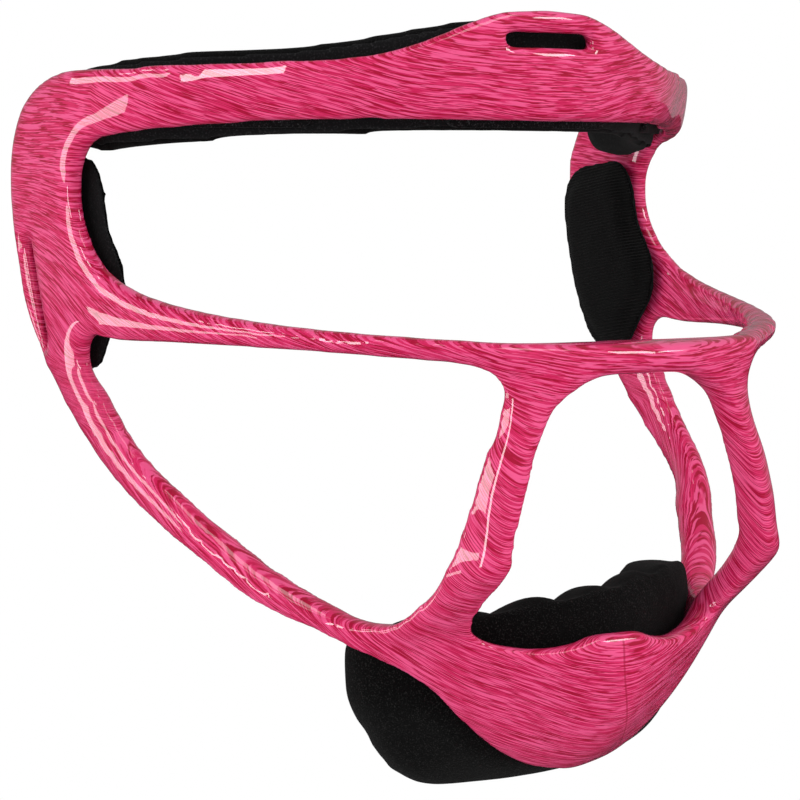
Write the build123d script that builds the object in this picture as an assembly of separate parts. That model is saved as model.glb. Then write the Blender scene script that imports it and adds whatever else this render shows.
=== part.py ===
from build123d import *
import math
import os

# Softball fielder's face guard: one moulded frame with a padded forehead, two padded
# temples and a padded chin. X to the wearer's left, Y to the back, Z up. The origin is
# on the mid-plane, level with the tip of the nose, between the wearer's cheeks.

# Sizes that the outlines follow: x shares of half_width, y shares of face_reach, z shares of brow_rise
half_width = 86.0
face_reach = 96.0
brow_rise = 80.0
overrun = 40.0

# Moulded frame
band_wall = 4.2
temple_wall = 4.4
bar_wall = 7.0
nose_wall = 11.0
chin_wall = 5.0
kink_lift = 3.0
chin_lift = 4.0
front_slot_length = 25.0
front_slot_height = 3.8
side_slot_length = 27.0
side_slot_width = 4.0
side_slot_lean = 19.5

# Hook patches glued to the frame's inner face
hook_thickness = 1.4
glue_gap = 0.3
patch_corner = 3.0
patch_reach = 14.0
front_patch_length = 46.0
front_patch_width = 11.0
side_patch_length = 30.0
temple_patch_length = 18.0
temple_patch_height = 14.0
chin_patch_length = 20.0
chin_patch_width = 14.0

# Pads: a sewn cover over foam, with a loop backing towards the frame
pad_gap = 0.3
loop_thickness = 1.0
cover_thickness = 0.9
foam_ease = 0.2
forehead_crown = 11.0
temple_crown = 5.6
temple_flange = 2.6
flange_thickness = 1.4
chin_pad_wall = 12.0
chin_pad_floor = 12.0

# Plan curve of the frame's outer face at each height: side point, bend point and corner point,
# front, and the headings of the side and the front curve as they meet at the corner
crown = dict(z_share=1.21, side_share=(1.0, 0.13), bend_share=(0.745, -0.29), corner_share=(0.42, -0.51),
             front_share=-0.612, turn=(62.0, 66.0), walls=(band_wall, band_wall, band_wall, band_wall), lift=0)
band = dict(z_share=0.99, side_share=(1.0, 0.13), bend_share=(0.745, -0.31), corner_share=(0.43, -0.54),
            front_share=-0.64, turn=(62.0, 66.0), walls=(band_wall, band_wall, band_wall, band_wall), lift=0)
brow = dict(z_share=0.775, side_share=(1.0, 0.13), bend_share=(0.695, -0.285), corner_share=(0.398, -0.52),
            front_share=-0.626, turn=(62.0, 66.0), walls=(temple_wall, band_wall, band_wall, band_wall), lift=0)
eye = dict(z_share=0.41, side_share=(1.0, 0.11), bend_share=(0.82, -0.552), corner_share=(0.41, -0.922),
           front_share=-0.995, turn=(53.0, 67.0), walls=(temple_wall, bar_wall, bar_wall, nose_wall), lift=0)
cheek = dict(z_share=0.21, side_share=(1.0, 0.09), bend_share=(0.826, -0.562), corner_share=(0.41, -0.93),
             front_share=-1.0, turn=(51.0, 67.0), walls=(temple_wall, bar_wall, bar_wall, nose_wall), lift=0)
web = dict(z_share=0.06, side_share=(0.99, 0.06), bend_share=(0.785, -0.54), corner_share=(0.38, -0.93),
           front_share=-1.0, turn=(37.0, 64.0), walls=(temple_wall, bar_wall, bar_wall, bar_wall), lift=0)
nose = dict(z_share=-0.075, side_share=(0.976, 0.03), bend_share=(0.744, -0.52), corner_share=(0.42, -0.938),
            front_share=-1.0, turn=(28.0, 62.0), walls=(temple_wall, bar_wall, bar_wall, bar_wall), lift=0)
lip = dict(z_share=-0.225, side_share=(0.955, -0.01), bend_share=(0.8, -0.44), corner_share=(0.46, -0.943),
           front_share=-1.0, turn=(27.0, 61.0), walls=(temple_wall, bar_wall, bar_wall, bar_wall), lift=0)
kink = dict(z_share=-0.375, side_share=(0.93, -0.05), bend_share=(0.823, -0.361), corner_share=(0.494, -0.944),
            front_share=-1.0, turn=(26.0, 60.0), walls=(bar_wall, bar_wall, bar_wall, bar_wall), lift=kink_lift)
chin_top = dict(z_share=-0.575, side_share=(0.884, -0.146), bend_share=(0.663, -0.505),
                corner_share=(0.535, -0.708), front_share=-0.896, turn=(24.0, 48.0),
                walls=(bar_wall, bar_wall, chin_wall, chin_wall), lift=chin_lift)
chin_mid = dict(z_share=-0.725, side_share=(0.767, -0.146), bend_share=(0.547, -0.563),
                corner_share=(0.36, -0.76), front_share=-0.89, turn=(46.0, 60.0),
                walls=(chin_wall, chin_wall, chin_wall, chin_wall), lift=chin_lift / 2)
chin_low = dict(z_share=-0.863, side_share=(0.674, -0.146), bend_share=(0.424, -0.552),
                corner_share=(0.238, -0.75), front_share=-0.844, turn=(50.0, 64.0),
                walls=(chin_wall, chin_wall, chin_wall, chin_wall), lift=chin_lift / 2)
chin_base = dict(z_share=-0.95, side_share=(0.58, -0.146), bend_share=(0.337, -0.542),
                 corner_share=(0.14, -0.724), front_share=-0.771, turn=(52.0, 68.0),
                 walls=(chin_wall, chin_wall, chin_wall, chin_wall), lift=chin_lift)
chin_floor = dict(z_share=-1.019, side_share=(0.488, -0.146), bend_share=(0.244, -0.479),
                  corner_share=(0.105, -0.604), front_share=-0.646, turn=(56.0, 70.0),
                  walls=(chin_wall, chin_wall, chin_wall, chin_wall), lift=chin_lift)
# Zones of the frame from the top down, each a smooth or a straight run between its levels
band_zone = ([crown, band, brow], False)
temple_zone = ([brow, eye], True)
cheek_zone = ([eye, cheek, web, nose, lip, kink], False)
leg_zone = ([kink, chin_top], True)
chin_zone = ([chin_top, chin_mid, chin_low, chin_base, chin_floor], False)
all_zones = [band_zone, temple_zone, cheek_zone, leg_zone, chin_zone]

# Side view outlines of the frame, (y, z)
rear_outline_shares = [(-0.125, 0.978), (0.104, 0.975), (0.25, 0.942), (0.348, 0.863), (0.396, 0.7),
                       (0.373, 0.475), (0.315, 0.281), (0.208, 0.106), (0.11, -0.02), (0.01, -0.128),
                       (-0.085, -0.212), (-0.24, -0.338), (-0.4, -0.495), (-0.56, -0.61), (-0.661, -0.706),
                       (-0.679, -0.788)]
eye_top_shares = [(0.031, 0.788), (-0.146, 0.818), (-0.625, 0.836)]
eye_low_shares = [(-1.05, 0.205), (-0.729, 0.243), (-0.417, 0.286), (-0.208, 0.328), (-0.052, 0.388),
                  (0.047, 0.475), (0.108, 0.631), (0.031, 0.788)]
side_window_shares = [(-0.26, 0.226), (-0.487, 0.221), (-0.674, 0.207), (-0.792, 0.191), (-0.861, 0.175),
                      (-0.892, 0.15), (-0.901, 0.08), (-0.9, -0.05), (-0.896, -0.158), (-0.886, -0.25),
                      (-0.875, -0.31), (-0.862, -0.37), (-0.823, -0.43), (-0.755, -0.488), (-0.7, -0.533),
                      (-0.645, -0.557), (-0.585, -0.556), (-0.5, -0.518), (-0.417, -0.446), (-0.314, -0.338),
                      (-0.228, -0.229), (-0.118, -0.122), (-0.029, -0.014), (0.04, 0.09), (0.072, 0.175),
                      (0.05, 0.216), (-0.05, 0.227)]
side_slot_share = (0.271, 0.338)

# Front view outlines of the frame, (x, z)
mouth_shares = [(0.0, 0.147), (0.11, 0.147), (0.175, 0.132), (0.225, 0.103), (0.27, 0.066), (0.31, -0.002),
                (0.355, -0.107), (0.386, -0.211), (0.41, -0.315), (0.425, -0.42), (0.425, -0.5),
                (0.402, -0.56), (0.35, -0.598), (0.261, -0.622), (0.185, -0.624), (0.09, -0.604),
                (0.0, -0.594)]
hump_shares = [(0.977, 0.98), (0.674, 0.99), (0.523, 1.0), (0.407, 1.025), (0.256, 1.088), (0.14, 1.13),
               (0.0, 1.14)]
front_slot_share = 1.058

# Forehead pad: place along each half of the band's plan curve, low edge, top edge and fullness
forehead_rear_share = 0.25
forehead_stations_share = [(0.0, 0.8, 0.95, 0.3), (0.05, 0.772, 0.975, 0.85), (0.2, 0.768, 1.0, 1.0),
                           (0.4, 0.785, 1.02, 1.0), (0.6, 0.8, 1.04, 1.0), (0.76, 0.81, 1.08, 1.0),
                           (0.88, 0.815, 1.108, 1.0), (1.0, 0.818, 1.12, 1.0)]
# Temple pad outline in side view, (y, z), without its flange, and its dome: rise and size of the outline
temple_pad_shares = [(0.13, 0.694), (0.095, 0.63), (0.07, 0.52), (0.015, 0.42), (0.008, 0.32), (0.055, 0.245),
                     (0.11, 0.16), (0.2, 0.155), (0.26, 0.23), (0.31, 0.38), (0.34, 0.54), (0.33, 0.65),
                     (0.29, 0.686), (0.21, 0.698)]
temple_dome_shares = [(0.0, 1.0), (0.45, 0.98), (0.8, 0.88), (0.97, 0.64), (1.0, 0.3)]
temple_mid_share = (0.175, 0.44)
temple_patch_share = (0.24, 0.625)
side_patch_share = 0.45
chin_patch_share = 0.2
dome_swell = 0.25
# Chin pad: plan curve of its outer face at each height, as for the frame
chin_pad_rear_share = -0.45
cup_floor_share = (0.27, -0.57)
cup_corner_share = 0.8
rim_line_shares = [(-0.9, -0.452), (-0.76, -0.461), (-0.62, -0.479), (-0.52, -0.492), (-0.465, -0.513),
                   (-0.44, -0.548)]
pad_rim = dict(z_share=-0.44, side_share=(0.485, -0.5), bend_share=(0.445, -0.59), corner_share=(0.322, -0.72),
               front_share=-0.805, turn=(50.0, 64.0))
pad_high = dict(z_share=-0.53, side_share=(0.515, -0.5), bend_share=(0.468, -0.595), corner_share=(0.34, -0.73),
                front_share=-0.82, turn=(50.0, 64.0))
pad_mid = dict(z_share=-0.72, side_share=(0.525, -0.5), bend_share=(0.47, -0.595), corner_share=(0.34, -0.73),
               front_share=-0.83, turn=(50.0, 64.0))
pad_low = dict(z_share=-0.9, side_share=(0.48, -0.5), bend_share=(0.42, -0.58), corner_share=(0.3, -0.67),
               front_share=-0.73, turn=(54.0, 68.0))
pad_keel = dict(z_share=-1.0, side_share=(0.39, -0.49), bend_share=(0.34, -0.55), corner_share=(0.22, -0.61),
                front_share=-0.645, turn=(58.0, 72.0))
pad_base = dict(z_share=-1.035, side_share=(0.31, -0.48), bend_share=(0.26, -0.53), corner_share=(0.17, -0.565),
                front_share=-0.595, turn=(58.0, 72.0))
chin_pad_levels = [pad_rim, pad_high, pad_mid, pad_low, pad_keel, pad_base]

pad_seat = glue_gap + hook_thickness + pad_gap
side_reach = half_width + overrun
front_reach = face_reach + overrun
high = crown["z_share"] * brow_rise + overrun
no_walls = (0, 0, 0, 0)
front_plane = Plane(origin=(0, 0, 0), x_dir=(1, 0, 0), z_dir=(0, -1, 0))


def in_side(share):
    """A (y, z) pair of shares as a point of the side view."""
    return Vector(share[0] * face_reach, share[1] * brow_rise, 0)


def in_front(share):
    """An (x, z) pair of shares as a point of the front view."""
    return Vector(share[0] * half_width, share[1] * brow_rise, 0)


def in_plan(share):
    """An (x, y) pair of shares as a point of the plan."""
    return Vector(share[0] * half_width, share[1] * face_reach, 0)


def heading(degrees):
    """Unit step in plan for a heading measured from straight ahead towards the mid-plane."""
    angle = math.radians(degrees)
    return Vector(-math.sin(angle), -math.cos(angle), 0)


def inset(point, way, wall):
    """Moves a plan point square to its way of travel, towards the wearer."""
    return Vector(point.X + way.Y * wall, point.Y - way.X * wall, 0)


def across(point):
    """The same point on the other side of the mid-plane."""
    return Vector(-point.X, point.Y, point.Z)


def plan_curves(level, walls, lift):
    """Side curve, front curve and mirrored side curve of a level, from the left temple round the front."""
    side_wall, bend_wall, corner_wall, front_wall = walls
    side, bend, corner = (in_plan(level[name]) for name in ("side_share", "bend_share", "corner_share"))
    ahead = heading(0)
    slant = (corner - side).normalized()
    height = Vector(0, 0, level["z_share"] * brow_rise + lift)
    side = inset(side, ahead, side_wall) + height
    bend = inset(bend, slant, bend_wall) + height
    corner = inset(corner, heading(sum(level["turn"]) / 2), corner_wall) + height
    front = Vector(0, level["front_share"] * face_reach + front_wall, height.Z)
    side_in, front_in = heading(level["turn"][0]), heading(level["turn"][1])
    left_side = Spline(side, bend, corner, tangents=[ahead, side_in])
    front_curve = Spline(corner, front, across(corner), tangents=[front_in, -across(front_in)])
    right_side = Spline(across(corner), across(bend), across(side), tangents=[-across(side_in), -ahead])
    return left_side, front_curve, right_side


def plan_face(level, walls, lift=0, rear_y=None):
    """Closed plan outline of a level, from a straight rear line round the front."""
    rear_y = face_reach / 2 + overrun / 2 if rear_y is None else rear_y
    left_side, front_curve, right_side = plan_curves(level, walls, lift)
    side = left_side @ 0
    rear = Vector(side.X, rear_y, side.Z)
    behind = Polyline(across(side), across(rear), rear, side)
    return make_face(Wire([left_side, front_curve, right_side] + list(behind.edges())))


def zone_block(zone, inside=False, more=0):
    """Solid behind the frame's outer face in one zone, or behind its inner face and a further gap."""
    levels, straight = zone
    faces = []
    for level in levels:
        walls = tuple(wall + more for wall in level["walls"]) if inside else no_walls
        faces.append(plan_face(level, walls, level["lift"] if inside else 0))
    return loft(faces, ruled=straight)


def stacked(zones, inside=False, more=0):
    """The blocks of several zones as one solid."""
    blocks = zone_block(zones[0], inside, more)
    for zone in zones[1:]:
        blocks += zone_block(zone, inside, more)
    return blocks


def through_sides(face):
    """A side view outline run right across the head."""
    return extrude(Plane.YZ * face, amount=side_reach, both=True)


def through_front(face):
    """A front view outline run in from the front."""
    return extrude(front_plane * face, amount=front_reach)


def kept_in_side_view():
    """Everything ahead of the temples' rear edge and above the jaw bars' lower edge."""
    edge = [in_side(share) for share in rear_outline_shares]
    last, first = edge[-1], edge[0]
    around = Polyline(last, (last.X, -high), (-front_reach, -high), (-front_reach, high), (first.X, high), first)
    return make_face(Wire([Spline(*edge)] + list(around.edges())))


def eye_window():
    """Opening between the band and the cheek bar, out through the front."""
    top = [in_side(share) for share in eye_top_shares]
    low = [in_side(share) for share in eye_low_shares]
    ahead = Polyline(top[-1], (-front_reach, top[-1].Y), (-front_reach, low[0].Y), low[0])
    return make_face(Wire([Spline(*top), Spline(*low)] + list(ahead.edges())))


def side_window():
    """Opening ahead of the jaw bar, under the cheek bar and behind the upright bar."""
    return make_face(Wire([Spline(*[in_side(share) for share in side_window_shares], periodic=True)]))


def mouth_window():
    """Opening between the two upright bars, from the cheek bar down to the chin panel's sill."""
    half = [in_front(share) for share in mouth_shares]
    level = (1, 0)
    left = Spline(*half, tangents=[level, (-1, 0)])
    right = Spline(*[across(point) for point in half], tangents=[(-1, 0), level])
    return make_face(Wire([left, right]))


def above_band():
    """Everything over the band's top edge, with the hump for the strap slot left below."""
    left = [in_front(share) for share in hump_shares]
    right = [across(point) for point in reversed(left[:-1])]
    start, end = Vector(side_reach, left[0].Y, 0), Vector(-side_reach, left[0].Y, 0)
    around = Polyline(end, (-side_reach, high), (side_reach, high), start)
    return make_face(Wire([Spline(start, *left, *right, end)] + list(around.edges())))


def build_frame():
    """The moulded frame: the zones' shell, cut to its outlines, windows and strap slots."""
    shell = stacked(all_zones) - stacked(all_zones, inside=True)
    shell &= through_sides(kept_in_side_view())
    shell -= through_sides(eye_window())
    shell -= through_sides(side_window())
    shell -= through_front(mouth_window())
    shell -= extrude(front_plane * above_band(), amount=front_reach, both=True)
    front_slot = Pos(in_front((0, front_slot_share))) * SlotOverall(front_slot_length, front_slot_height)
    shell -= through_front(front_slot)
    side_slot = SlotOverall(side_slot_length, side_slot_width, rotation=90 - side_slot_lean)
    shell -= through_sides(Pos(in_side(side_slot_share)) * side_slot)
    return shell


def seat(zones, more):
    """Room inside the frame, a gap away from its inner face."""
    return stacked(zones, inside=True, more=more)


def hook_patch(zones, place, travel, length, width):
    """Strip of hook tape glued to the inner face, square to the way of travel."""
    facing = Plane(origin=place, x_dir=travel, z_dir=Vector(travel.Y, -travel.X, 0))
    block = extrude(facing * RectangleRounded(length, width, patch_corner), amount=patch_reach, both=True)
    skin = seat(zones, glue_gap) - seat(zones, glue_gap + hook_thickness)
    return skin & block


def build_patches():
    """Hook patches by node name: three on the band, one on each temple, two in the chin."""
    front_z = (brow["z_share"] + band["z_share"]) / 2 * brow_rise
    path = band_path()
    chin_path = plan_curves(chin_mid, no_walls, 0)[1]
    patches = {}
    ahead = heading(90)
    front = Vector(0, (path @ 1).Y, front_z)
    patches["hook_front"] = hook_patch([band_zone], front, ahead, front_patch_length, front_patch_width)
    at = path @ side_patch_share
    at = Vector(at.X, at.Y, front_z)
    along = path % side_patch_share
    patches["hook_brow_left"] = hook_patch([band_zone], at, along, side_patch_length, front_patch_width)
    spot = in_side(temple_patch_share)
    place = Vector(half_width, spot.X, spot.Y)
    size = temple_patch_length, temple_patch_height
    patches["hook_temple_left"] = hook_patch([temple_zone], place, heading(0), *size)
    place, travel = chin_path @ chin_patch_share, chin_path % chin_patch_share
    patches["hook_chin_left"] = hook_patch([chin_zone], place, travel, chin_patch_length, chin_patch_width)
    for name in ("hook_brow", "hook_temple", "hook_chin"):
        patches[name + "_right"] = mirror(patches[name + "_left"], about=Plane.YZ)
    return patches


def band_path():
    """Half of the band's outer plan curve, from the pad's rear end round to the mid-plane."""
    left_side, front_curve, _ = plan_curves(band, no_walls, 0)
    side = left_side @ 0
    rear_end = Vector(side.X, forehead_rear_share * face_reach, side.Z)
    return Wire([Line(rear_end, side), left_side, front_curve.trim(0, 0.5)])


def forehead_section(place, travel, low, top, fullness, shrink):
    """D section of the forehead pad, square to the band, with its flat side out in the band's wall."""
    inward = Vector(travel.Y, -travel.X, 0)
    facing = Plane(origin=(place.X, place.Y, 0), x_dir=inward, z_dir=inward.cross(Vector(0, 0, 1)))
    low, top = low * brow_rise + shrink, top * brow_rise - shrink
    edge = band_wall + pad_seat
    peak = edge + forehead_crown * fullness - shrink
    swell = [(1, -dome_swell), (-1, -dome_swell)]
    dome = Spline((edge, low), (peak, (low + top) / 2), (edge, top), tangents=swell)
    sides = Polyline((edge, top), (0, top), (0, low), (edge, low))
    return make_face(Wire([(facing * dome)] + list((facing * sides).edges())))


def forehead_body(shrink):
    """The forehead pad's D sections joined from one temple round to the other."""
    path = band_path()
    left = []
    for index, (along, low, top, fullness) in enumerate(forehead_stations_share):
        step = shrink / path.length if index == 0 else 0
        left.append((path @ (along + step), path % (along + step), low, top, fullness))
    right = []
    for place, travel, *rest in reversed(left[:-1]):
        right.append((across(place), Vector(travel.X, -travel.Y, 0), *rest))
    return loft([forehead_section(*station, shrink) for station in left + right])


def build_forehead_pad():
    """Loop backing, cover and foam of the forehead pad by node name."""
    zones = [band_zone, temple_zone]
    back = pad_seat + loop_thickness
    whole = forehead_body(0) & seat(zones, pad_seat)
    room = seat(zones, back)
    loop = whole - room
    inner = forehead_body(cover_thickness) & seat(zones, back + cover_thickness)
    cover = (whole & room) - inner
    foam = forehead_body(cover_thickness + foam_ease) & seat(zones, back + cover_thickness + foam_ease)
    return dict(forehead_loop=loop, forehead_cover=cover, forehead_foam=foam)


def temple_outline(x, size, grow):
    """Pad outline at a place across the head, sized about its middle and grown square to itself."""
    middle = in_side(temple_mid_share)
    spots = [middle + (in_side(share) - middle) * size for share in temple_pad_shares]
    grown = []
    for before, spot, after in zip(spots[-1:] + spots[:-1], spots, spots[1:] + spots[:1]):
        way = (after - before).normalized()
        grown.append(Vector(x, spot.X + way.Y * grow, spot.Y - way.X * grow))
    return make_face(Wire([Spline(*grown, periodic=True)]))


def temple_body(shrink):
    """Domed temple pad for the left side, straight-walled out through the frame's wall."""
    foot = half_width - temple_wall - pad_seat
    faces = [temple_outline(half_width, 1, -shrink)]
    for rise, size in temple_dome_shares:
        faces.append(temple_outline(foot - rise * (temple_crown - shrink), size, -shrink))
    return extrude(faces[0], amount=foot - half_width, dir=(1, 0, 0)) + loft(faces[1:])


def build_temple_pad():
    """Loop backing, cover and foam of both temple pads by node name."""
    zones = [temple_zone, cheek_zone]
    back = pad_seat + loop_thickness
    room = seat(zones, back)
    reach = temple_wall + pad_seat + temple_crown
    rim = extrude(temple_outline(half_width, 1, temple_flange), amount=-reach, dir=(1, 0, 0))
    loop = (rim & seat(zones, pad_seat)) - room
    flange = (rim & room) - seat(zones, back + flange_thickness)
    inner = temple_body(cover_thickness) & seat(zones, back + cover_thickness)
    cover = (temple_body(0) & room) + flange - inner
    foam = temple_body(cover_thickness + foam_ease) & seat(zones, back + cover_thickness + foam_ease)
    pad = dict(temple_loop_left=loop, temple_cover_left=cover, temple_foam_left=foam)
    for name in list(pad):
        pad[name.replace("left", "right")] = mirror(pad[name], about=Plane.YZ)
    return pad


def over_rim(drop):
    """Side view outline of everything over the chin pad's rim, which falls towards the back."""
    rim = [in_side(share) - Vector(0, drop, 0) for share in rim_line_shares]
    around = Polyline(rim[-1], (overrun, rim[-1].Y), (overrun, overrun), (rim[0].X, overrun), rim[0])
    return make_face(Wire([Spline(*rim)] + list(around.edges())))


def chin_body(shrink):
    """Outside of the chin pad: inside the chin panel where the panel is, full behind its rear edge."""
    faces = []
    for level in chin_pad_levels:
        lift = shrink if level is pad_base else 0
        faces.append(plan_face(level, (shrink,) * 4, lift, chin_pad_rear_share * face_reach - shrink))
    clear = pad_gap + shrink
    shadow = Pos(0, clear, -clear) * through_sides(kept_in_side_view())
    beside = shadow - seat([leg_zone, chin_zone], pad_seat + shrink)
    return loft(faces) - beside - through_sides(over_rim(shrink))


def cup_outline(half, front, height):
    """Plan outline of the chin cup at one height, round in front and open to the back."""
    face = Pos(0, (front + overrun) / 2, height) * Rectangle(2 * half, overrun - front)
    corners = face.vertices().sort_by(Axis.Y)[:2]
    return fillet(corners, cup_corner_share * half)


def chin_cavity(grow):
    """Room for the chin, open to the top and the back."""
    wall = chin_pad_wall - grow
    rim_half = pad_high["side_share"][0] * half_width - wall
    rim_front = pad_rim["front_share"] * face_reach + wall
    low_half = cup_floor_share[0] * half_width + grow
    low_front = cup_floor_share[1] * face_reach - grow
    floor = pad_base["z_share"] * brow_rise + chin_pad_floor - grow
    rim = cup_outline(rim_half, rim_front, pad_rim["z_share"] * brow_rise)
    low = cup_outline(low_half, low_front, floor)
    return loft([low, rim], ruled=True) + extrude(rim, amount=overrun, dir=(0, 0, 1))


def build_chin_pad():
    """Cover, lining and foam of the chin pad by node name."""
    whole = chin_body(0)
    lined = chin_cavity(cover_thickness)
    lining = (whole & lined) - chin_cavity(0)
    cover = whole - chin_body(cover_thickness) - lined
    foam = chin_body(cover_thickness + foam_ease) - chin_cavity(cover_thickness + foam_ease)
    return dict(chin_cover=cover, chin_lining=lining, chin_foam=foam)


os.makedirs("parts", exist_ok=True)
nodes = dict(frame=build_frame())
for pieces in (build_patches(), build_forehead_pad(), build_temple_pad(), build_chin_pad()):
    nodes.update(pieces)
for name, piece in nodes.items():
    print(name, piece.is_valid, round(piece.volume), len(piece.solids()), len(piece.faces()))
    export_step(piece, "parts/" + name + ".step")
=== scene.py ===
import math

import bmesh
import bpy
import numpy as np
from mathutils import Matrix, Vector, kdtree
from mathutils.bvhtree import BVHTree


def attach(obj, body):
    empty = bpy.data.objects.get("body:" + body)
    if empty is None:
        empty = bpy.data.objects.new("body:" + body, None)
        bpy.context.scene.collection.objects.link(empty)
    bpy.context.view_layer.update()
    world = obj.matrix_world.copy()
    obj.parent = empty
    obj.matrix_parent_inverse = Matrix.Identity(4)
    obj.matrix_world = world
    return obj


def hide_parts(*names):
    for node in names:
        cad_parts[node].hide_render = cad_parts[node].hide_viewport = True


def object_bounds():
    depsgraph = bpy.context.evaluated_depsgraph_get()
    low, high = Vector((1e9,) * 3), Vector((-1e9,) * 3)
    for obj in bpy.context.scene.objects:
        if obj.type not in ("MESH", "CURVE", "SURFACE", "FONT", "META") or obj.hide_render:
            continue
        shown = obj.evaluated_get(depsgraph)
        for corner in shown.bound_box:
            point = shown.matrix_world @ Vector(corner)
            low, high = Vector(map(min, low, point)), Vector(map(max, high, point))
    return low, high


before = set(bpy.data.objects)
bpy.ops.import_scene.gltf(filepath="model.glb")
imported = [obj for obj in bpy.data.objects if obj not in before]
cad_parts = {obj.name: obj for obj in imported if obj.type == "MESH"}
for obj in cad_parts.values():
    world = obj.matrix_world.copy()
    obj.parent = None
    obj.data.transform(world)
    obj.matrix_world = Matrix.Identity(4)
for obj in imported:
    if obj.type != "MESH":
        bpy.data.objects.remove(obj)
cad_low, cad_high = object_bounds()

bpy.context.scene.view_settings.view_transform = "Standard"

# The room: a pale floor well below the guard, which hangs in the air as on a stand that is not
# seen. The camera sees the floor and the backdrop white, and the gloss sees them much dimmer.
MM = 0.001
FLOOR_DROP = 220 * MM
FLOOR_HALF = 6.0
FLOOR_GLOSS = 0.02
FLOOR_CORNERS = ((-1, -1), (1, -1), (1, 1), (-1, 1))


def new_object(name, data):
    """An object of this data, linked into the scene."""
    piece = bpy.data.objects.new(name, data)
    bpy.context.scene.collection.objects.link(piece)
    return piece


def new_material(name):
    """A material, its nodes, its links and its Principled shader."""
    material = bpy.data.materials.new(name)
    material.use_nodes = True
    nodes = material.node_tree.nodes
    return material, nodes, material.node_tree.links, nodes["Principled BSDF"]


def math_node(nodes, links, operation, first, second=None, third=None):
    """A Math node on sockets or numbers, and its output."""
    node = nodes.new("ShaderNodeMath")
    node.operation = operation
    for slot, value in enumerate((first, second, third)):
        if value is None:
            continue
        if isinstance(value, (int, float)):
            node.inputs[slot].default_value = value
        else:
            links.new(value, node.inputs[slot])
    return node.outputs[0]


def ranged(value, low, high, to_low=0.0, to_high=1.0):
    """A value mapped smoothly from one range to another, in the node tree that is being built."""
    node = nodes.new("ShaderNodeMapRange")
    node.interpolation_type = "SMOOTHSTEP"
    for label, number in (("From Min", low), ("From Max", high), ("To Min", to_low), ("To Max", to_high)):
        node.inputs[label].default_value = number
    links.new(value, node.inputs["Value"])
    return node.outputs[0]


floor_z = cad_low.z - FLOOR_DROP
floor_mesh = bpy.data.meshes.new("floor")
floor_spots = [(x * FLOOR_HALF, y * FLOOR_HALF, floor_z) for x, y in FLOOR_CORNERS]
floor_mesh.from_pydata(floor_spots, [], [(0, 1, 2, 3)])
floor_mesh.update()
floor = new_object("floor", floor_mesh)
material, nodes, links, shader = new_material("pale_floor")
shader.inputs["Base Color"].default_value = (0.9, 0.9, 0.9, 1)
shader.inputs["Roughness"].default_value = 0.9
glow = nodes.new("ShaderNodeEmission")
glow.inputs["Color"].default_value = (1, 1, 1, 1)
seen = nodes.new("ShaderNodeLightPath")
camera_ray, glossy_ray = seen.outputs["Is Camera Ray"], seen.outputs["Is Glossy Ray"]
shine = nodes.new("ShaderNodeMapRange")
shine.inputs["To Min"].default_value = FLOOR_GLOSS
links.new(camera_ray, shine.inputs["Value"])
links.new(shine.outputs[0], glow.inputs["Strength"])
mixed = nodes.new("ShaderNodeMixShader")
links.new(math_node(nodes, links, "MAXIMUM", camera_ray, glossy_ray), mixed.inputs["Fac"])
links.new(shader.outputs["BSDF"], mixed.inputs[1])
links.new(glow.outputs["Emission"], mixed.inputs[2])
links.new(mixed.outputs[0], nodes["Material Output"].inputs["Surface"])
floor.data.materials.append(material)

# The backdrop is white to the camera. The gloss sees a glow behind the guard, and all other light
# from it is a fill that is strongest on the side the guard faces.
AMBIENT = 0.31
FRONT_FILL = 1.4
FILL_SIDE = (0.5, -0.85, 0.05)
GLOW_SIDE = (0.57, 0.82, -0.05)
GLOW_SPREAD = (0.2, 0.95)
GLOW_STRENGTH = (0.04, 0.22)
world = bpy.data.worlds.new("studio")
bpy.context.scene.world = world
world.use_nodes = True
nodes, links = world.node_tree.nodes, world.node_tree.links
backdrop = nodes["Background"]
backdrop.inputs["Color"].default_value = (1, 1, 1, 1)
seen = nodes.new("ShaderNodeLightPath")
camera_ray, glossy_ray = seen.outputs["Is Camera Ray"], seen.outputs["Is Glossy Ray"]
heading = nodes.new("ShaderNodeTexCoord")


def nearness(side):
    """How nearly a ray heads to one side, as the dot product of the two directions."""
    product = nodes.new("ShaderNodeVectorMath")
    product.operation = "DOT_PRODUCT"
    product.inputs[1].default_value = side
    links.new(heading.outputs["Generated"], product.inputs[0])
    return product.outputs["Value"]


in_sight = math_node(nodes, links, "MAXIMUM", camera_ray, seen.outputs["Is Transmission Ray"])
backdrop_glow = ranged(nearness(GLOW_SIDE), *GLOW_SPREAD, *GLOW_STRENGTH)
in_gloss = math_node(nodes, links, "MULTIPLY", glossy_ray, backdrop_glow)
soft_fill = nodes.new("ShaderNodeMapRange")
soft_fill.inputs["From Min"].default_value = 0
soft_fill.inputs["To Min"].default_value = AMBIENT
soft_fill.inputs["To Max"].default_value = AMBIENT + FRONT_FILL
links.new(nearness(FILL_SIDE), soft_fill.inputs["Value"])
not_glossy = math_node(nodes, links, "SUBTRACT", 1, glossy_ray)
as_fill = math_node(nodes, links, "MULTIPLY", not_glossy, soft_fill.outputs[0])
seen_directly = math_node(nodes, links, "MAXIMUM", in_sight, in_gloss)
links.new(math_node(nodes, links, "MAXIMUM", seen_directly, as_fill), backdrop.inputs["Strength"])

# The camera and the lamps: two long softboxes on the wearer's right, which draw the pale patches
# on the band's corner and the bars, an upright strip beside the camera, and three smaller
# softboxes higher up.
VIEW_AZIMUTH, VIEW_ELEVATION = -35, 4
CAMERA_DISTANCE = 731.7 * MM
FOCAL_LENGTH = 135
SENSOR_WIDTH = 36


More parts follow.
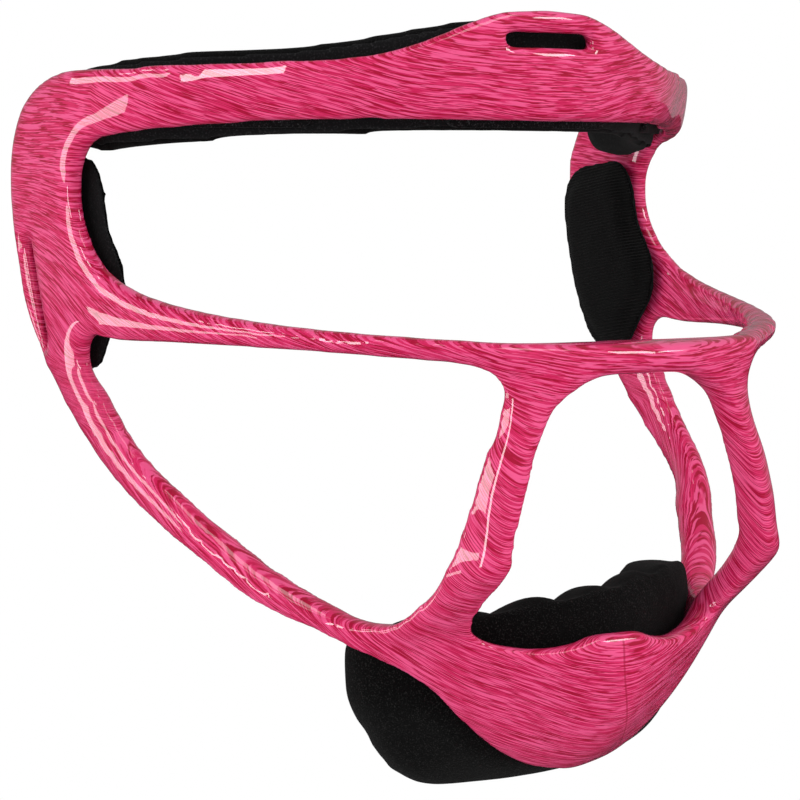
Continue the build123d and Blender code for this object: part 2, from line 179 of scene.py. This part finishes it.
def direction(azimuth, elevation):
    """The way out from the guard at an azimuth and an elevation in degrees, 0 being straight ahead."""
    azimuth, elevation = math.radians(azimuth), math.radians(elevation)
    return Vector((math.sin(azimuth) * math.cos(elevation), -math.cos(azimuth) * math.cos(elevation),
                   math.sin(elevation)))


toward_camera = direction(VIEW_AZIMUTH, VIEW_ELEVATION)
camera_data = bpy.data.cameras.new("camera")
camera_data.lens = FOCAL_LENGTH
camera_data.sensor_width = SENSOR_WIDTH
camera = new_object("camera", camera_data)
camera.location = toward_camera * CAMERA_DISTANCE
camera.rotation_mode = "QUATERNION"
camera.rotation_quaternion = (-toward_camera).to_track_quat("-Z", "Y")
bpy.context.scene.camera = camera


def studio_light(name, azimuth, elevation, distance, width, height, radiance):
    """A rectangular lamp that faces the guard, by its direction in degrees, its distance and size
    in metres, and how bright its face is."""
    place = direction(azimuth, elevation) * distance
    data = bpy.data.lights.new(name, "AREA")
    data.shape = "RECTANGLE"
    data.size, data.size_y = width, height
    data.energy = radiance * math.pi * width * height
    lamp = new_object(name, data)
    lamp.location = place
    lamp.rotation_mode = "QUATERNION"
    lamp.rotation_quaternion = (-place).to_track_quat("-Z", "Y")


studio_light("left_upper_softbox", -107, 21, 1.5, 1.95, 0.36, 3.0)
studio_light("left_lower_softbox", -116, -8, 1.5, 1.5, 0.34, 2.6)
studio_light("near_strip", -60, 16, 1.5, 0.2, 0.9, 5)
studio_light("left_high_softbox", -100, 47, 1.5, 0.5, 0.2, 4)
studio_light("right_high_softbox", 45, 36, 1.5, 0.4, 0.3, 5)
studio_light("top_softbox", 20, 70, 1.6, 0.9, 0.5, 1.5)

# The moulded frame: one injection-moulded plastic piece with softly rounded edges. A printed
# film with fine brushed streaks is wrapped over it, and a clear coat is sprayed over the film.
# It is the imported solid's own shape, made even and rounded over.
SHELL_CELL = 0.8 * MM
ROUNDING_STEPS = 22
REGAIN_STEPS = 60
FAIRING_STEPS = 40
FAIRING_SHARES = (0.5, -0.515)
SHARP_ANGLE = math.radians(14)
LEAST_WEIGHT = 1e-4
MERGE_DISTANCE = 0.005 * MM
TINY = 1e-9


def outer_copy(name, sources):
    """One mesh from copies of CAD nodes, their loose triangles merged into closed shells."""
    form = bmesh.new()
    for source in sources:
        form.from_mesh(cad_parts[source].data)
    bmesh.ops.remove_doubles(form, verts=form.verts, dist=MERGE_DISTANCE)
    mesh = bpy.data.meshes.new(name)
    form.to_mesh(mesh)
    form.free()
    return mesh


def remeshed(name, mesh, cell):
    """The mesh as even quads of one cell, from Blender's voxel remesh."""
    piece = new_object(name, mesh)
    voxels = piece.modifiers.new("voxels", "REMESH")
    voxels.mode = "VOXEL"
    voxels.voxel_size = cell
    graph = bpy.context.evaluated_depsgraph_get()
    result = bpy.data.meshes.new_from_object(piece.evaluated_get(graph), depsgraph=graph)
    bpy.data.objects.remove(piece)
    result.name = name
    return result


def points_of(mesh):
    """The mesh's points, one row each."""
    spots = np.empty(len(mesh.vertices) * 3)
    mesh.vertices.foreach_get("co", spots)
    return spots.reshape(-1, 3)


def edges_of(mesh):
    """The two points of every edge, by their numbers."""
    pairs = np.empty(len(mesh.edges) * 2, dtype=np.int64)
    mesh.edges.foreach_get("vertices", pairs)
    return pairs.reshape(-1, 2)


def normals_of(mesh):
    """The normal at every point."""
    ways = np.empty(len(mesh.vertices) * 3)
    mesh.vertex_normals.foreach_get("vector", ways)
    return ways.reshape(-1, 3)


def neighbour_mean(values, pairs, weights):
    """Weighted mean of each vertex's neighbours, over the mesh's edges."""
    a, b = pairs[:, 0], pairs[:, 1]
    count = len(values)
    total = np.bincount(a, weights, count) + np.bincount(b, weights, count)
    total = np.maximum(total, TINY)
    mean = np.empty_like(values)
    for axis in range(3):
        mean[:, axis] = np.bincount(a, weights * values[b, axis], count)
        mean[:, axis] += np.bincount(b, weights * values[a, axis], count)
    return mean / total[:, None]


def rounded(spots, pairs, steps, share=0.5):
    """Each step moves every point part of the way to its neighbours' mean."""
    even = np.ones(len(pairs))
    for _ in range(steps):
        spots = spots + share * (neighbour_mean(spots, pairs, even) - spots)
    return spots


def faired(spots, pairs, ways, steps, sharp):
    """Smooths the broad faces and leaves the rounded edges: a neighbour counts less the more its
    normal differs, and each step in is followed by a slightly larger step out, so nothing shrinks."""
    turn = np.arccos(np.clip((ways[pairs[:, 0]] * ways[pairs[:, 1]]).sum(1), -1, 1))
    weights = np.exp(-(turn / sharp) ** 2) + LEAST_WEIGHT
    for _ in range(steps):
        for share in FAIRING_SHARES:
            spots = spots + share * (neighbour_mean(spots, pairs, weights) - spots)
    return spots


def set_points(mesh, spots):
    """Moves the mesh's points to these places."""
    mesh.vertices.foreach_set("co", spots.ravel())
    mesh.update()


CROWN_RISE = 0.6 * MM
CROWN_REACH = 3.0 * MM
EDGE_REGAIN = 0.45 * MM
BAR_DEPTH = 1.6 * MM
LIFT_STEPS = 20
LAST_STEPS = 3
CREASE_ANGLE = math.radians(35)
CREASE_STEP = 0.8 * MM
HEAD_MIDDLE = (0, 20 * MM, 0)
CROWN_FACING = 0.3
# Where one treatment of the faces fades into the next: heights of the foot of the band, the top of
# the chin guard and both ends of the bars, how far back the band's sides begin, and the facings
# at which the inner faces end.
BAND_FOOT = (58 * MM, 64 * MM)
BAND_SIDES = (-36 * MM, -12 * MM)
CHIN_TOP = (-48 * MM, -36 * MM)
BARS_FOOT = (-42 * MM, -34 * MM)
BARS_TOP = (2 * MM, 10 * MM)
INNER_FACES = (-0.7, -0.2)


def crease_points(mesh):
    """Points along every edge of a mesh where its faces meet at an angle."""
    form = bmesh.new()
    form.from_mesh(mesh)
    spots = []
    for edge in form.edges:
        if len(edge.link_faces) == 2 and edge.calc_face_angle() > CREASE_ANGLE:
            start, end = (vert.co.copy() for vert in edge.verts)
            count = max(1, math.ceil((end - start).length / CREASE_STEP))
            spots += [start.lerp(end, step / count) for step in range(count + 1)]
    form.free()
    return spots


def distance_to(spots, marks):
    """How far each point of an array is from the nearest mark."""
    tree = kdtree.KDTree(len(marks))
    for number, mark in enumerate(marks):
        tree.insert(mark, number)
    tree.balance()
    return np.array([tree.find(spot)[2] for spot in spots])


def eased(values, low, high):
    """0 below low, 1 above high, smooth between."""
    share = np.clip((values - low) / (high - low), 0, 1)
    return share * share * (3 - 2 * share)


def out_from_head(spots, ways):
    """How far each normal looks out from the middle of the head, level with the ground."""
    away = spots * (1, 1, 0) - HEAD_MIDDLE
    away /= np.maximum(np.linalg.norm(away, axis=1), TINY)[:, None]
    return (away * ways).sum(1)


shell_source = outer_copy("shell_copy", ["frame"])
creases = crease_points(shell_source)
shell_mesh = remeshed("moulded_shell", shell_source, SHELL_CELL)
shell_points, shell_pairs = points_of(shell_mesh), edges_of(shell_mesh)
softened = rounded(shell_points, shell_pairs, ROUNDING_STEPS)
shell_points = softened + rounded(shell_points - softened, shell_pairs, REGAIN_STEPS)
set_points(shell_mesh, shell_points)
shell_points = faired(shell_points, shell_pairs, normals_of(shell_mesh), FAIRING_STEPS, SHARP_ANGLE)
set_points(shell_mesh, shell_points)
# The outer faces are slightly crowned, more the farther a place is from an edge.
shell_ways = normals_of(shell_mesh)
crown = 1 - np.exp(-distance_to(shell_points, creases) / CROWN_REACH)
outward = out_from_head(shell_points, shell_ways)
crown *= np.clip(outward / CROWN_FACING, 0, 1)
height = shell_points[:, 2]
front_band = eased(height, *BAND_FOOT) * (1 - eased(shell_points[:, 1], *BAND_SIDES))
crown *= eased(height, *CHIN_TOP) * (1 - front_band)
# Rounding took a little off every edge, which comes back here, but not where the pads press on
# the inner faces. The bars below the cheeks are a little deeper towards the face.
not_inner = eased(outward, *INNER_FACES)
bars = eased(height, *BARS_FOOT) * (1 - eased(height, *BARS_TOP))
grown = EDGE_REGAIN * not_inner + BAR_DEPTH * bars * (1 - not_inner)
shell_lift = rounded(shell_ways * (crown * CROWN_RISE + grown)[:, None], shell_pairs, LIFT_STEPS)
set_points(shell_mesh, rounded(shell_points + shell_lift, shell_pairs, LAST_STEPS))
shell_mesh.polygons.foreach_set("use_smooth", [True] * len(shell_mesh.polygons))
shell = new_object("moulded_shell", shell_mesh)
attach(shell, "frame")
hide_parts("frame")


def socket_group(name, inputs, outputs):
    """An empty shader node group with named float or colour or vector sockets."""
    group = bpy.data.node_groups.new(name, "ShaderNodeTree")
    for label, kind, value in inputs:
        socket = group.interface.new_socket(name=label, in_out="INPUT", socket_type=kind)
        if value is not None:
            socket.default_value = value
    for label, kind in outputs:
        group.interface.new_socket(name=label, in_out="OUTPUT", socket_type=kind)
    taken, given = group.nodes.new("NodeGroupInput"), group.nodes.new("NodeGroupOutput")
    return group, group.nodes, group.links, taken, given


# The film's print: short strokes along planes that tilt up towards the rear, in a stretched noise.
streaks, nodes, links, taken, given = socket_group(
    "brushed_streaks",
    [("Place", "NodeSocketVector", None), ("Row", "NodeSocketFloat", 0.0),
     ("Length", "NodeSocketFloat", 100.0), ("Fineness", "NodeSocketFloat", 2000.0),
     ("Shift", "NodeSocketFloat", 0.0)],
    [("Streak", "NodeSocketFloat")])
axes = nodes.new("ShaderNodeSeparateXYZ")
links.new(taken.outputs["Place"], axes.inputs[0])
strand = nodes.new("ShaderNodeCombineXYZ")
length, shift = taken.outputs["Length"], taken.outputs["Shift"]
links.new(math_node(nodes, links, "MULTIPLY_ADD", axes.outputs["X"], length, shift), strand.inputs[0])
links.new(math_node(nodes, links, "MULTIPLY", axes.outputs["Y"], length), strand.inputs[1])
fine_row = math_node(nodes, links, "MULTIPLY", taken.outputs["Row"], taken.outputs["Fineness"])
links.new(fine_row, strand.inputs[2])
grain = nodes.new("ShaderNodeTexNoise")
grain.inputs["Scale"].default_value = 1
grain.inputs["Detail"].default_value = 2
grain.inputs["Roughness"].default_value = 0.5
links.new(strand.outputs[0], grain.inputs["Vector"])
links.new(grain.outputs["Fac"], given.inputs["Streak"])

material, nodes, links, shader = new_material("brushed_film")
place = nodes.new("ShaderNodeTexCoord").outputs["Object"]
axes = nodes.new("ShaderNodeSeparateXYZ")
links.new(place, axes.inputs[0])


def streak_layer(row, length, fineness, shift):
    """One layer of strokes in the rows given, with a shift that sets it apart from the others."""
    node = nodes.new("ShaderNodeGroup")
    node.node_tree = streaks
    links.new(place, node.inputs["Place"])
    links.new(row, node.inputs["Row"])
    node.inputs["Length"].default_value = length
    node.inputs["Fineness"].default_value = fineness
    node.inputs["Shift"].default_value = shift
    return node.outputs["Streak"]


def mixed_colour(mask, first, second):
    """Two colours, given as a socket or as numbers, mixed by a mask."""
    node = nodes.new("ShaderNodeMix")
    node.data_type = "RGBA"
    links.new(mask, node.inputs["Factor"])
    for label, colour in (("A", first), ("B", second)):
        if isinstance(colour, tuple):
            node.inputs[label].default_value = (*colour, 1)
        else:
            links.new(colour, node.inputs[label])
    return node.outputs["Result"]


# How steeply the strokes climb towards the rear: hardly at the top of the temples, half as far
# as they go back on the band and cheek bar, and more than that below. Each climb has two heights,
# the slope below the first and the slope above the second.
FRONT_CLIMB = (-4 * MM, 14 * MM, 1.15, 0.5)
REAR_CLIMB = (5 * MM, 66 * MM, 0.85, 0.08)
CLIMB_PIVOT = 90 * MM
WANDER = 5 * MM
FILM_PINK, FILM_DEEP = (0.76, 0.026, 0.14), (0.64, 0.008, 0.09)
STROKE_DARK, STROKE_PALE = (0.44, 0.0, 0.035), (0.94, 0.1, 0.285)
forward = math_node(nodes, links, "MINIMUM", axes.outputs["Y"], 0.0)
rearward = math_node(nodes, links, "MAXIMUM", axes.outputs["Y"], 0.0)
front_climb = ranged(axes.outputs["Z"], *FRONT_CLIMB)
rear_climb = ranged(axes.outputs["Z"], *REAR_CLIMB)
forward = math_node(nodes, links, "ADD", forward, CLIMB_PIVOT)
front_lean = math_node(nodes, links, "MULTIPLY", forward, front_climb)
rear_lean = math_node(nodes, links, "MULTIPLY", rearward, rear_climb)
drift = nodes.new("ShaderNodeTexNoise")
drift.inputs["Scale"].default_value = 30
drift.inputs["Detail"].default_value = 1
links.new(place, drift.inputs["Vector"])
wander = math_node(nodes, links, "MULTIPLY_ADD", drift.outputs["Fac"], WANDER, axes.outputs["Z"])
row = math_node(nodes, links, "SUBTRACT", wander, math_node(nodes, links, "ADD", front_lean, rear_lean))
dark_strokes = ranged(streak_layer(row, 130, 2600, 0), 0.50, 0.55)
fine_strokes = ranged(streak_layer(row, 170, 5200, 40), 0.46, 0.58)
pale_strokes = ranged(streak_layer(row, 130, 2800, 90), 0.50, 0.57)
print_colour = mixed_colour(fine_strokes, FILM_PINK, FILM_DEEP)
print_colour = mixed_colour(dark_strokes, print_colour, STROKE_DARK)
print_colour = mixed_colour(pale_strokes, print_colour, STROKE_PALE)

# Where the film's two edges overlap there is a fine dark line down the middle of the chin guard. It
# bends to one side with the square of the distance below its top.
FILM_LINE_TOP = -50 * MM
FILM_LINE_BEND = 16
FILM_LINE_EDGE = (0.4 * MM, 0.15 * MM)
FILM_LINE_FADE = (-47 * MM, -49 * MM, 0.0, 0.6)
FILM_LINE_COLOUR = (0.42, 0.0, 0.03)
below = math_node(nodes, links, "SUBTRACT", axes.outputs["Z"], FILM_LINE_TOP)
squared = math_node(nodes, links, "MULTIPLY", below, below)
bent = math_node(nodes, links, "MULTIPLY", squared, FILM_LINE_BEND)
aside = math_node(nodes, links, "SUBTRACT", axes.outputs["X"], bent)
film_line = math_node(nodes, links, "ABSOLUTE", aside)
film_line = ranged(film_line, *FILM_LINE_EDGE)
film_line = math_node(nodes, links, "MULTIPLY", film_line, ranged(axes.outputs["Z"], *FILM_LINE_FADE))
print_colour = mixed_colour(film_line, print_colour, FILM_LINE_COLOUR)
links.new(print_colour, shader.inputs["Base Color"])
shader.inputs["Roughness"].default_value = 0.5
shader.inputs["Specular IOR Level"].default_value = 0.15
shader.inputs["Coat Weight"].default_value = 1.0
shader.inputs["Coat Roughness"].default_value = 0.03
shader.inputs["Coat IOR"].default_value = 1.95
shell_mesh.materials.clear()
shell_mesh.materials.append(material)

# The pads' cloths: a fine fibre group that every black cloth on the guard shares, with a short
# speckle where single fibres catch the light and a height for their nap.
fibres, nodes, links, taken, given = socket_group(
    "nap_fibres",
    [("Place", "NodeSocketVector", None), ("Fibres", "NodeSocketFloat", 2200.0),
     ("Tufts", "NodeSocketFloat", 700.0)],
    [("Speck", "NodeSocketFloat"), ("Height", "NodeSocketFloat")])
hair = nodes.new("ShaderNodeTexNoise")
hair.inputs["Detail"].default_value = 2
links.new(taken.outputs["Place"], hair.inputs["Vector"])
links.new(taken.outputs["Fibres"], hair.inputs["Scale"])
tuft = nodes.new("ShaderNodeTexNoise")
tuft.inputs["Detail"].default_value = 3
tuft.inputs["Roughness"].default_value = 0.6
links.new(taken.outputs["Place"], tuft.inputs["Vector"])
links.new(taken.outputs["Tufts"], tuft.inputs["Scale"])
caught = ranged(hair.outputs["Fac"], 0.52, 0.72)
links.new(math_node(nodes, links, "MULTIPLY", caught, tuft.outputs["Fac"]), given.inputs["Speck"])
fine_nap = math_node(nodes, links, "MULTIPLY", hair.outputs["Fac"], 0.5)
links.new(math_node(nodes, links, "ADD", fine_nap, tuft.outputs["Fac"]), given.inputs["Height"])


def black_cloth(name, deep, caught_light, fibres_per_metre, tufts_per_metre, lift):
    """A black cloth: deep colour between fibres, lighter where one is caught, and a nap by bump."""
    material, nodes, links, shader = new_material(name)
    place = nodes.new("ShaderNodeTexCoord").outputs["Object"]
    nap = nodes.new("ShaderNodeGroup")
    nap.node_tree = fibres
    links.new(place, nap.inputs["Place"])
    nap.inputs["Fibres"].default_value = fibres_per_metre
    nap.inputs["Tufts"].default_value = tufts_per_metre
    shade = nodes.new("ShaderNodeMix")
    shade.data_type = "RGBA"
    shade.inputs["A"].default_value = (*deep, 1)
    shade.inputs["B"].default_value = (*caught_light, 1)
    links.new(nap.outputs["Speck"], shade.inputs["Factor"])
    links.new(shade.outputs["Result"], shader.inputs["Base Color"])
    bump = nodes.new("ShaderNodeBump")
    bump.inputs["Strength"].default_value = 0.5
    bump.inputs["Distance"].default_value = lift
    links.new(nap.outputs["Height"], bump.inputs["Height"])
    links.new(bump.outputs["Normal"], shader.inputs["Normal"])
    shader.inputs["Roughness"].default_value = 1.0
    shader.inputs["Specular IOR Level"].default_value = 0.08
    shader.inputs["Sheen Weight"].default_value = 0.03
    shader.inputs["Sheen Roughness"].default_value = 0.6
    return material


def finished(name, mesh, body, replaced, material):
    """A piece from a mesh, riding on its body in place of its CAD nodes."""
    mesh.materials.clear()
    mesh.materials.append(material)
    mesh.polygons.foreach_set("use_smooth", [True] * len(mesh.polygons))
    piece = new_object(name, mesh)
    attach(piece, body)
    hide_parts(*replaced)
    return piece


HELD_FROM, HELD_FADE = 0.2, 0.5
PUFF_PRESSURE = 4
PUFF_FRAMES = 20
PUFF_STEPS = 2


def puffed(name, mesh, start_in, most):
    """Cloth blown up from inside. The form starts a little smaller, each point may then move by a
    cap, and points whose normal looks out to the frame keep their place."""
    spots, pairs, ways = points_of(mesh), edges_of(mesh), normals_of(mesh)
    held = np.clip((out_from_head(spots, ways) - HELD_FROM) / HELD_FADE, 0, 1)[:, None]
    start = spots - ways * start_in * (1 - held)
    set_points(mesh, start)
    sheet = new_object(name, mesh)
    cloth = sheet.modifiers.new("cloth", "CLOTH")
    cloth.settings.use_pressure = True
    cloth.settings.uniform_pressure_force = PUFF_PRESSURE
    cloth.settings.quality = 4
    cloth.settings.effector_weights.gravity = 0
    for number in range(1, PUFF_FRAMES + 1):
        bpy.context.scene.frame_set(number)
    graph = bpy.context.evaluated_depsgraph_get()
    blown = bpy.data.meshes.new_from_object(sheet.evaluated_get(graph), depsgraph=graph)
    moved = points_of(blown) - start
    far = np.maximum(np.linalg.norm(moved, axis=1), TINY)[:, None]
    moved = moved * np.minimum(1, most / far) * (1 - held)
    set_points(mesh, rounded(start + moved, pairs, PUFF_STEPS))
    bpy.data.objects.remove(sheet)
    bpy.data.meshes.remove(blown)
    bpy.context.scene.frame_set(1)
    return mesh


def subdivided(mesh):
    """One Catmull-Clark subdivision, applied."""
    piece = new_object("subdividing", mesh)
    finer = piece.modifiers.new("finer", "SUBSURF")
    finer.levels = finer.render_levels = 1
    graph = bpy.context.evaluated_depsgraph_get()
    result = bpy.data.meshes.new_from_object(piece.evaluated_get(graph), depsgraph=graph)
    bpy.data.objects.remove(piece)
    return result


# How far outside a form each ray starts and how far it reaches, in cells of that form.
CAST_FROM, CAST_REACH = 0.8, 1.6
NORMAL_STEPS = 6


def soft_form(name, sources, cell, steps):
    """One rounded closed form over several CAD nodes: a voxel form, laid back on their outer faces
    along its normals and then smoothed, because hollow nodes make its faces step."""
    solid = outer_copy(name + "_copy", sources)
    mesh = remeshed(name, solid, cell)
    corners = [tuple(spot) for spot in points_of(solid)]
    faces = BVHTree.FromPolygons(corners, [tuple(face.vertices) for face in solid.polygons])
    spots, ways = points_of(mesh), normals_of(mesh)
    ways = rounded(ways, edges_of(mesh), NORMAL_STEPS)
    for number, (spot, way) in enumerate(zip(spots, ways)):
        start = Vector(spot + way * cell * CAST_FROM)
        hit = faces.ray_cast(start, Vector(-way), cell * CAST_REACH)[0]
        if hit is not None:
            spots[number] = hit
    set_points(mesh, rounded(spots, edges_of(mesh), steps))
    return mesh


def shrunk(mesh, depth):
    """The mesh drawn in along its normals, so a core stays clear of its cover."""
    set_points(mesh, points_of(mesh) - normals_of(mesh) * depth)


# Forehead pad: soft foam in a sewn sleeve of fine black plush that runs round the inside of the
# band. A loop backing on its outer side presses on to the hook patches.
plush = black_cloth("fine_plush", (0.0015, 0.0014, 0.0015), (0.02, 0.019, 0.019), 3000, 900, 0.2 * MM)
backing = black_cloth("brushed_loop", (0.006, 0.006, 0.0065), (0.04, 0.04, 0.042), 2500, 1200, 0.2 * MM)
foam_grey = black_cloth("cut_foam", (0.02, 0.02, 0.021), (0.05, 0.05, 0.052), 1500, 900, 0.3 * MM)
# The foam squeezes the sleeve out a little over and under the backing.
SLEEVE_SWELL = 1.2 * MM
FOREHEAD_CORE_INSET = 1.6 * MM
mesh = soft_form("forehead_sleeve", ["forehead_cover"], 1.6 * MM, 6)
mesh = subdivided(puffed("forehead_sleeve", mesh, 0.5 * MM, 2.2 * MM))
spots, ways = points_of(mesh), normals_of(mesh)
spots[:, 2] += ways[:, 2] * SLEEVE_SWELL
set_points(mesh, spots)
finished("forehead_sleeve", mesh, "forehead_pad", ["forehead_cover"], plush)
mesh = soft_form("forehead_core", ["forehead_foam"], 1.6 * MM, 3)
shrunk(mesh, FOREHEAD_CORE_INSET)
finished("forehead_core", mesh, "forehead_pad", ["forehead_foam"], foam_grey)
mesh = soft_form("forehead_backing", ["forehead_loop"], 0.7 * MM, 14)
finished("forehead_backing", mesh, "forehead_pad", ["forehead_loop"], backing)

# Temple pads: thin foam domes under a ribbed knitted cover, with a flat flange stitched round
# the edge. Each presses on to the hook patch on its side of the frame.
TEMPLE_SQUEEZE = 0.7
RIB_PITCH = 0.8 * MM
RIB_SLOPE = 0.155
RIB_HEIGHT = 0.35 * MM
NAP_SHARE = 0.35
ribbed = black_cloth("ribbed_knit", (0.0017, 0.0016, 0.0016), (0.022, 0.021, 0.02), 3000, 900, 0.2 * MM)
nodes, links = ribbed.node_tree.nodes, ribbed.node_tree.links
axes = nodes.new("ShaderNodeSeparateXYZ")
links.new(nodes["Texture Coordinate"].outputs["Object"], axes.inputs[0])
lean = math_node(nodes, links, "MULTIPLY", axes.outputs["Y"], RIB_SLOPE)
row = math_node(nodes, links, "ADD", axes.outputs["Z"], lean)
wave = math_node(nodes, links, "SINE", math_node(nodes, links, "MULTIPLY", row, 2 * math.pi / RIB_PITCH))
rib = math_node(nodes, links, "MULTIPLY_ADD", wave, 0.5, 0.5)
fibre = nodes["Group"].outputs
bump = nodes["Bump"].inputs
bump["Strength"].default_value = 1.0
bump["Distance"].default_value = RIB_HEIGHT
nap = math_node(nodes, links, "MULTIPLY", fibre["Height"], NAP_SHARE)
links.new(math_node(nodes, links, "ADD", rib, nap), bump["Height"])
links.new(math_node(nodes, links, "MULTIPLY", fibre["Speck"], rib), nodes["Mix"].inputs["Factor"])


def squeezed(mesh, against):
    """A pad pressed flatter against the frame's inner face at one x."""
    spots = points_of(mesh)
    spots[:, 0] = against + (spots[:, 0] - against) * TEMPLE_SQUEEZE
    set_points(mesh, spots)


for side in ("left", "right"):
    pad, cover = "temple_pad_" + side, "temple_cover_" + side
    foam, loop = "temple_foam_" + side, "temple_loop_" + side
    mesh = soft_form("temple_dome_" + side, [cover], 1.1 * MM, 3)
    mesh = subdivided(puffed("temple_dome_" + side, mesh, 0.2 * MM, 1.0 * MM))
    against_frame = points_of(mesh)[np.argmax(np.abs(points_of(mesh)[:, 0])), 0]
    squeezed(mesh, against_frame)
    finished("temple_dome_" + side, mesh, pad, [cover], ribbed)
    mesh = soft_form("temple_core_" + side, [foam], 0.8 * MM, 1)
    squeezed(mesh, against_frame)
    finished("temple_core_" + side, mesh, pad, [foam], foam_grey)
    mesh = soft_form("temple_backing_" + side, [loop], 0.6 * MM, 12)
    squeezed(mesh, against_frame)
    finished("temple_backing_" + side, mesh, pad, [loop], backing)

# Chin pad: a deep cup of foam in coarse black velour, which itself grips the hook patches, with
# a smooth lining sewn in where the chin rests.
velour = black_cloth("coarse_velour", (0.0012, 0.0011, 0.0011), (0.03, 0.029, 0.028), 3000, 1500, 0.4 * MM)
lining = black_cloth("smooth_lining", (0.0008, 0.0008, 0.0008), (0.016, 0.0155, 0.015), 3000, 900, 0.2 * MM)
PAD_SPREAD = 3.8 * MM
PAD_ROLL = math.radians(4.2)
PAD_DROP = 0.7 * MM
PAD_SHIFT = 0.9 * MM
PAD_MIDDLE = 60 * MM
PAD_STEPS = 4
MIDDLE_DIP = 0.2 * MM
RIM_LEAN = 0.05
ARM_FALL = 3.0 * MM
END_STEPS = 30
SEAM_DEPTH = 1.0 * MM
SEAM_FACING = 0.35
SEAM_FADE = 0.2
SEAM_HALF = 0.12
LINING_FALL = 2.6 * MM
CHIN_CORE_INSET = 3 * MM
# Each hump of the lining between its stitches: where it is across the pad, and its rise.
HUMP_HALF = 9 * MM
LINING_HUMPS = ((-29 * MM, 3.6 * MM), (-14 * MM, 3.4 * MM), (1 * MM, 3.2 * MM), (15 * MM, 3.6 * MM),
                (29 * MM, 3.8 * MM))
# Where each change to the cup sets in and is complete: facings and heights of the rim, heights of
# the upper cup, how far back its arms begin, and distances from the middle.
RIM_FACINGS = (0.15, 0.5)
RIM_HEIGHTS = (-54 * MM, -48 * MM)
UPPER_HEIGHTS = (-76 * MM, -52 * MM)
ARM_DEPTHS = (-52 * MM, -30 * MM)
DIP_REACH = (0, 24 * MM)
ARM_REACH = (30 * MM, 42 * MM)
END_REACH = (22 * MM, 31 * MM)
SPREAD_REACH = (22 * MM, 44 * MM)
SPREAD_HEIGHTS = (-70 * MM, -56 * MM)


def settled(spots):
    """The pad's points turned about Y and moved to where it was pressed on."""
    turn = np.array([[math.cos(PAD_ROLL), 0, math.sin(PAD_ROLL)], [0, 1, 0],
                     [-math.sin(PAD_ROLL), 0, math.cos(PAD_ROLL)]])
    return spots @ turn + (PAD_SHIFT - math.sin(PAD_ROLL) * PAD_MIDDLE, 0, -PAD_DROP)


mesh = soft_form("chin_cup", ["chin_cover", "chin_foam", "chin_lining"], 2.2 * MM, 2)
mesh = subdivided(puffed("chin_cup", mesh, 0.6 * MM, 1.0 * MM))
spots, ways = points_of(mesh), normals_of(mesh)
outward = out_from_head(spots, ways)
over_rim = eased(ways[:, 2], *RIM_FACINGS) * eased(spots[:, 2], *RIM_HEIGHTS)
groove = np.exp(-((outward - SEAM_FACING) / SEAM_HALF) ** 2) * over_rim
is_lining = 1 - eased(outward, SEAM_FACING - SEAM_FADE, SEAM_FACING)
rise = np.zeros(len(spots))
for middle, lift in LINING_HUMPS:
    across = np.clip(np.abs(spots[:, 0] - middle) / HUMP_HALF, 0, 1)
    rise = np.maximum(rise, lift * (1 - across ** 2) ** 1.5)
spots = spots - ways * (groove * SEAM_DEPTH)[:, None]
spots[:, 2] += (rise - LINING_FALL) * is_lining * over_rim
high = eased(spots[:, 2], *UPPER_HEIGHTS)
in_front = 1 - eased(spots[:, 1], *ARM_DEPTHS)
across = np.abs(spots[:, 0])
spots[:, 2] += high * in_front * (spots[:, 0] * RIM_LEAN - MIDDLE_DIP * (1 - eased(across, *DIP_REACH)))
spots[:, 2] -= high * (1 - in_front) * ARM_FALL * (1 - eased(across, *ARM_REACH))
softened = rounded(spots, edges_of(mesh), END_STEPS)
spots += (softened - spots) * (high * eased(across, *END_REACH))[:, None]
wide = eased(np.abs(spots[:, 0]), *SPREAD_REACH) * eased(spots[:, 2], *SPREAD_HEIGHTS)
spots[:, 0] += np.sign(spots[:, 0]) * wide * PAD_SPREAD
# It was pressed on by hand, so it sits a little to one side and a little turned.
set_points(mesh, rounded(settled(spots), edges_of(mesh), PAD_STEPS))
finished("chin_cup", mesh, "chin_pad", ["chin_cover", "chin_lining"], velour)
# A face is of lining cloth where its first corner is in the lining.
corners = np.empty(len(mesh.loops), dtype=np.int64)
mesh.loops.foreach_get("vertex_index", corners)
starts = np.empty(len(mesh.polygons), dtype=np.int64)
mesh.polygons.foreach_get("loop_start", starts)
mesh.materials.append(lining)
mesh.polygons.foreach_set("material_index", (is_lining[corners[starts]] > 0.5).astype(np.int32))
mesh = soft_form("chin_core", ["chin_foam"], 1.6 * MM, 3)
shrunk(mesh, CHIN_CORE_INSET)
set_points(mesh, settled(points_of(mesh)))
finished("chin_core", mesh, "chin_pad", ["chin_foam"], foam_grey)

# Hook patches: woven nylon tape with rows of stiff hooks, glued to the inside of the frame.
hooks = black_cloth("hook_tape", (0.004, 0.004, 0.0045), (0.09, 0.09, 0.095), 2600, 1500, 0.4 * MM)
hooks.node_tree.nodes["Principled BSDF"].inputs["Roughness"].default_value = 0.6
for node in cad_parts:
    if node.startswith("hook_"):
        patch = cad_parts[node]
        patch.data.materials.clear()
        patch.data.materials.append(hooks)
